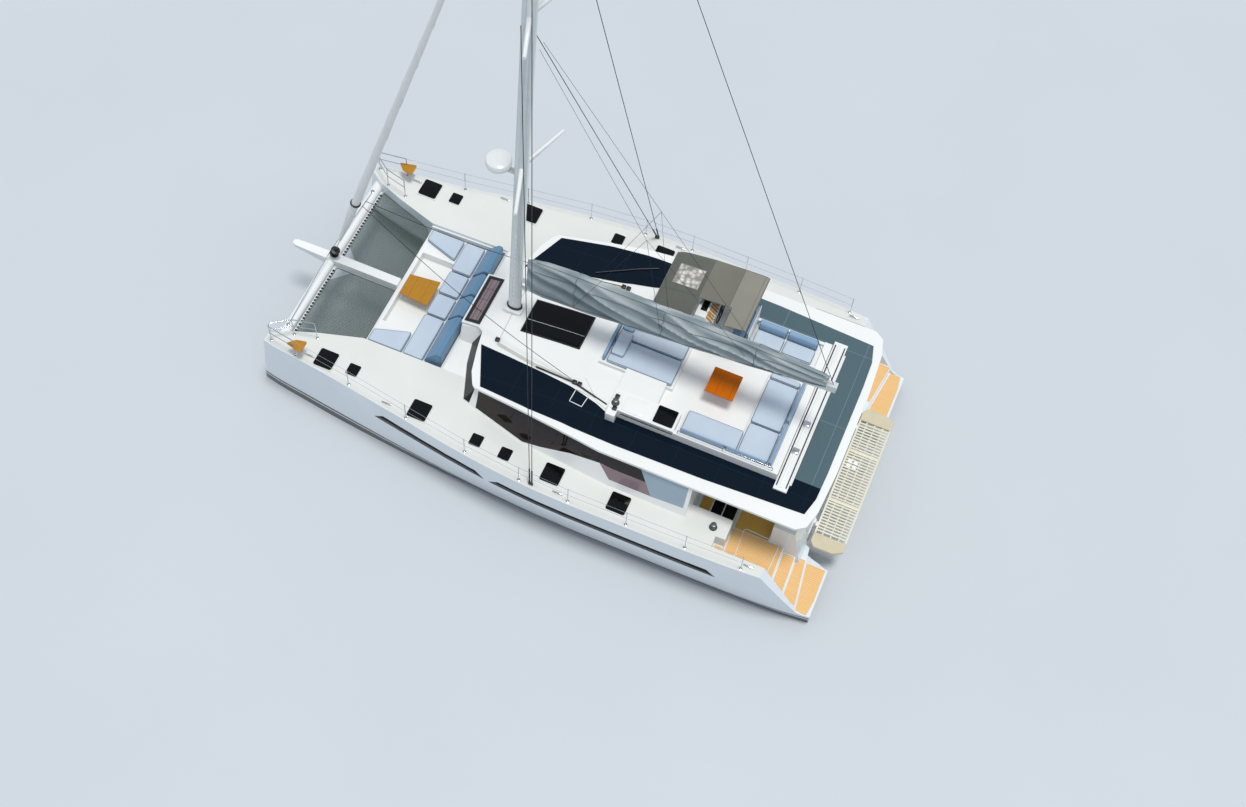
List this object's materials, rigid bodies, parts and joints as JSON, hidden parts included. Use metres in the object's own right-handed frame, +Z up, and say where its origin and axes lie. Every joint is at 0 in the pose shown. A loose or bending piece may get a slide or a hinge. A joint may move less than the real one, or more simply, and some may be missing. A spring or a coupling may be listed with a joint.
{
  "type": "sailing catamaran",
  "caption": "Cruising sailing catamaran with a flybridge, stowed sails, trampolines between the bows and a swim platform between the sterns.",
  "frame": {"origin": "on the centreline at the waterline, half way along the hulls", "axes": "+X towards the bow, +Y to port, +Z up"},
  "size_m": [16.02, 8.19, 23.38],
  "materials": {
    "gelcoat": "glossy white gelcoat",
    "acrylic": "smooth black acrylic",
    "tinted_glass": "polished tinted glass",
    "panel": "smooth navy panel",
    "fabric": "woven outdoor fabric",
    "canvas": "woven canvas",
    "sailcloth": "woven sailcloth",
    "net": "open woven net",
    "alloy": "anodised aluminium",
    "painted_alloy": "white painted aluminium",
    "stainless": "polished stainless steel",
    "bronze": "machined bronze",
    "teak": "oiled teak",
    "decking": "ribbed synthetic decking"
  },
  "bodies": {
    "boat": {"hull_port": "gelcoat", "hull_starboard": "gelcoat", "bridgedeck": "gelcoat", "fore_cockpit": "gelcoat", "cabin_walls": "gelcoat", "cockpit_bench": "gelcoat", "saloon_seat": "gelcoat", "saloon_galley": "gelcoat", "hardtop": "gelcoat", "fly_moulding": "gelcoat", "helm_console": "gelcoat", "traveller_beam": "gelcoat", "radar": "gelcoat", "bowsprit": "gelcoat", "aft_bulkhead": "acrylic", "skylight": "acrylic", "side_glass_port": "tinted_glass", "side_glass_starboard": "tinted_glass", "windscreen": "tinted_glass", "front_window": "tinted_glass", "roof_panels": "panel", "fore_cushion": "fabric", "fore_backrest": "fabric", "sunbed_cushion": "fabric", "lounge_cushion": "fabric", "settee_cushion": "fabric", "helm_seat": "fabric", "bimini": "canvas", "furled_genoa": "sailcloth", "trampoline_port": "net", "trampoline_starboard": "net", "crossbeam": "painted_alloy", "mast": "alloy", "saildrive_port": "alloy", "saildrive_starboard": "alloy", "bimini_frame": "stainless", "shrouds_port": "stainless", "shrouds_starboard": "stainless", "guardrail_port": "stainless", "guardrail_starboard": "stainless", "fore_table": "teak", "fly_table": "teak", "cockpit_table": "teak"},
    "boom": {"boom": "alloy", "sail_cover": "canvas"},
    "steering_wheel": {"steering_wheel": "acrylic"},
    "rudder_port": {"rudder_port": "gelcoat"},
    "rudder_starboard": {"rudder_starboard": "gelcoat"},
    "propeller_port": {"propeller_port": "bronze"},
    "propeller_starboard": {"propeller_starboard": "bronze"},
    "swim_platform": {"swim_platform": "decking"},
    "saloon_door": {"saloon_door": "tinted_glass"},
    "hatch_h1_port": {"hatch_h1_port": "acrylic"},
    "hatch_h1_starboard": {"hatch_h1_starboard": "acrylic"},
    "hatch_h2_port": {"hatch_h2_port": "acrylic"},
    "hatch_h2_starboard": {"hatch_h2_starboard": "acrylic"},
    "hatch_h3_port": {"hatch_h3_port": "acrylic"},
    "hatch_h3_starboard": {"hatch_h3_starboard": "acrylic"},
    "hatch_h4_port": {"hatch_h4_port": "acrylic"},
    "hatch_h4_starboard": {"hatch_h4_starboard": "acrylic"}
  },
  "joints": [
    {"name": "boom_swing", "type": "hinge", "parent": "boat", "child": "boom", "pos_m": [1.73, 0, 3.98], "axis": [0, 0, 1], "range_deg": [-52.8, 57.2]},
    {"name": "rudder_port_turn", "type": "hinge", "parent": "boat", "child": "rudder_port", "pos_m": [-6.35, 3.085, -0.6], "axis": [0, 0, 1], "range_deg": [-35, 35]},
    {"name": "rudder_starboard_turn", "type": "hinge", "parent": "boat", "child": "rudder_starboard", "pos_m": [-6.35, -3.085, -0.6], "axis": [0, 0, 1], "range_deg": [-35, 35]},
    {"name": "wheel_turn", "type": "hinge", "parent": "boat", "child": "steering_wheel", "pos_m": [-2.83, -1.4, 3.87], "axis": [1, 0, 0], "range_deg": [-525, 525]},
    {"name": "propeller_port_spin", "type": "hinge", "parent": "boat", "child": "propeller_port", "pos_m": [-4.83, 3.085, -1], "axis": [1, 0, 0], "continuous": true},
    {"name": "propeller_starboard_spin", "type": "hinge", "parent": "boat", "child": "propeller_starboard", "pos_m": [-4.83, -3.085, -1], "axis": [1, 0, 0], "continuous": true},
    {"name": "platform_lift", "type": "slide", "parent": "boat", "child": "swim_platform", "axis": [0, 0, 1], "range_m": [-0.95, 0]},
    {"name": "saloon_door_slide", "type": "slide", "parent": "boat", "child": "saloon_door", "axis": [0, 1, 0], "range_m": [0, 1.05]},
    {"name": "hatch_h1_port_open", "type": "hinge", "parent": "boat", "child": "hatch_h1_port", "pos_m": [6.075, 2.9, 2.0553], "axis": [0, 1, 0], "range_deg": [0, 85]},
    {"name": "hatch_h1_starboard_open", "type": "hinge", "parent": "boat", "child": "hatch_h1_starboard", "pos_m": [6.075, -2.9, 2.0553], "axis": [0, 1, 0], "range_deg": [0, 85]},
    {"name": "hatch_h2_port_open", "type": "hinge", "parent": "boat", "child": "hatch_h2_port", "pos_m": [3.325, 3.27, 2.1053], "axis": [0, 1, 0], "range_deg": [0, 85]},
    {"name": "hatch_h2_starboard_open", "type": "hinge", "parent": "boat", "child": "hatch_h2_starboard", "pos_m": [3.325, -3.27, 2.1053], "axis": [0, 1, 0], "range_deg": [0, 85]},
    {"name": "hatch_h3_port_open", "type": "hinge", "parent": "boat", "child": "hatch_h3_port", "pos_m": [-0.335, 3.52, 2.1053], "axis": [0, 1, 0], "range_deg": [0, 85]},
    {"name": "hatch_h3_starboard_open", "type": "hinge", "parent": "boat", "child": "hatch_h3_starboard", "pos_m": [-0.335, -3.52, 2.1053], "axis": [0, 1, 0], "range_deg": [0, 85]},
    {"name": "hatch_h4_port_open", "type": "hinge", "parent": "boat", "child": "hatch_h4_port", "pos_m": [-2.085, 3.58, 2.1053], "axis": [0, 1, 0], "range_deg": [0, 85]},
    {"name": "hatch_h4_starboard_open", "type": "hinge", "parent": "boat", "child": "hatch_h4_starboard", "pos_m": [-2.085, -3.58, 2.1053], "axis": [0, 1, 0], "range_deg": [0, 85]}
  ],
  "couplings": [
    {"joint": "rudder_starboard_turn", "follows": "rudder_port_turn", "ratio": 1},
    {"joint": "wheel_turn", "follows": "rudder_port_turn", "ratio": 15}
  ]
}
